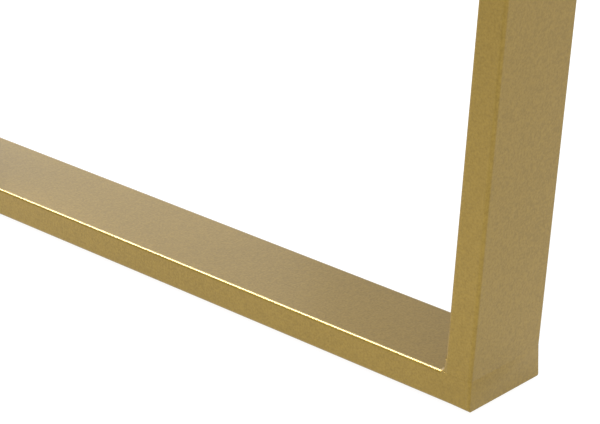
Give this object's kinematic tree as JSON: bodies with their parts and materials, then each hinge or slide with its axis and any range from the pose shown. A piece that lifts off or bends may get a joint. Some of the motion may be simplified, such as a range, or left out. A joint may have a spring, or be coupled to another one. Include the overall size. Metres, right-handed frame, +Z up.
{
  "type": "vanity table",
  "caption": "Vanity table with two drawers on slides, a round mirror that tilts in a yoke, and sled legs of flat gold tube",
  "frame": {"origin": "on the floor, in the middle of the whole footprint with the drawer handles counted in", "axes": "+Z up; the sitter is on the -Y side; +X is the sitter's right hand"},
  "size_m": [1, 0.524, 1.34],
  "materials": {
    "gold_paint": "satin",
    "gold_metal": "satin",
    "walnut_veneer": "satin",
    "drawer_foil": "matte",
    "grey_flock": "matte",
    "zinc_plate": "satin",
    "nylon": "matte",
    "mirror_glass": "polished",
    "backing_board": "matte"
  },
  "bodies": {
    "table": {"left_base_bar": "gold_paint", "left_base_cap_front": "gold_paint", "left_base_cap_back": "gold_paint", "left_front_upright": "gold_paint", "left_back_upright": "gold_paint", "left_head_strip": "gold_paint", "left_front_glide": "nylon", "left_back_glide": "nylon", "left_side_panel": "walnut_veneer", "right_base_bar": "gold_paint", "right_base_cap_front": "gold_paint", "right_base_cap_back": "gold_paint", "right_front_upright": "gold_paint", "right_back_upright": "gold_paint", "right_head_strip": "gold_paint", "right_front_glide": "nylon", "right_back_glide": "nylon", "right_side_panel": "walnut_veneer", "table_top": "walnut_veneer", "bottom_panel": "walnut_veneer", "back_panel": "walnut_veneer", "centre_divider": "walnut_veneer", "left_drawer_left_slide_outer": "zinc_plate", "left_drawer_right_slide_outer": "zinc_plate", "right_drawer_left_slide_outer": "zinc_plate", "right_drawer_right_slide_outer": "zinc_plate", "left_yoke_lug": "gold_metal", "right_yoke_lug": "gold_metal", "mirror_yoke": "gold_metal", "yoke_socket": "gold_metal", "yoke_plate": "gold_metal"},
    "left_drawer": {"left_drawer_front": "walnut_veneer", "left_drawer_left_side": "drawer_foil", "left_drawer_right_side": "drawer_foil", "left_drawer_back": "drawer_foil", "left_drawer_bottom": "grey_flock", "left_handle": "gold_metal", "left_drawer_left_slide_inner": "zinc_plate", "left_drawer_right_slide_inner": "zinc_plate"},
    "left_drawer_middle_slides": {"left_drawer_left_slide_middle": "zinc_plate", "left_drawer_right_slide_middle": "zinc_plate"},
    "right_drawer": {"right_drawer_front": "walnut_veneer", "right_drawer_left_side": "drawer_foil", "right_drawer_right_side": "drawer_foil", "right_drawer_back": "drawer_foil", "right_drawer_bottom": "grey_flock", "right_handle": "gold_metal", "right_drawer_left_slide_inner": "zinc_plate", "right_drawer_right_slide_inner": "zinc_plate"},
    "right_drawer_middle_slides": {"right_drawer_left_slide_middle": "zinc_plate", "right_drawer_right_slide_middle": "zinc_plate"},
    "left_pivot_knob": {"left_pivot_knob": "gold_metal"},
    "right_pivot_knob": {"right_pivot_knob": "gold_metal"},
    "mirror": {"mirror_glass": "mirror_glass", "mirror_back_panel": "backing_board", "mirror_ring": "gold_metal", "left_pivot_boss": "gold_metal", "left_friction_washer": "nylon", "right_pivot_boss": "gold_metal", "right_friction_washer": "nylon"}
  },
  "joints": [
    {"name": "left_drawer_slide", "type": "slide", "parent": "table", "child": "left_drawer", "axis": [0, -1, 0], "range_m": [0, 0.38]},
    {"name": "left_middle_slide", "type": "slide", "parent": "table", "child": "left_drawer_middle_slides", "axis": [0, -1, 0], "range_m": [0, 0.19]},
    {"name": "right_drawer_slide", "type": "slide", "parent": "table", "child": "right_drawer", "axis": [0, -1, 0], "range_m": [0, 0.38]},
    {"name": "right_middle_slide", "type": "slide", "parent": "table", "child": "right_drawer_middle_slides", "axis": [0, -1, 0], "range_m": [0, 0.19]},
    {"name": "mirror_tilt", "type": "hinge", "parent": "table", "child": "mirror", "pos_m": [0, 0.177, 1.088], "axis": [1, 0, 0], "continuous": true},
    {"name": "left_knob_turn", "type": "hinge", "parent": "mirror", "child": "left_pivot_knob", "pos_m": [-0.28, 0.177, 1.088], "axis": [-1, 0, 0], "range_deg": [0, 180]},
    {"name": "right_knob_turn", "type": "hinge", "parent": "mirror", "child": "right_pivot_knob", "pos_m": [0.28, 0.177, 1.088], "axis": [1, 0, 0], "range_deg": [0, 180]}
  ],
  "couplings": [
    {"joint": "left_middle_slide", "follows": "left_drawer_slide", "ratio": 0.5},
    {"joint": "right_middle_slide", "follows": "right_drawer_slide", "ratio": 0.5}
  ]
}
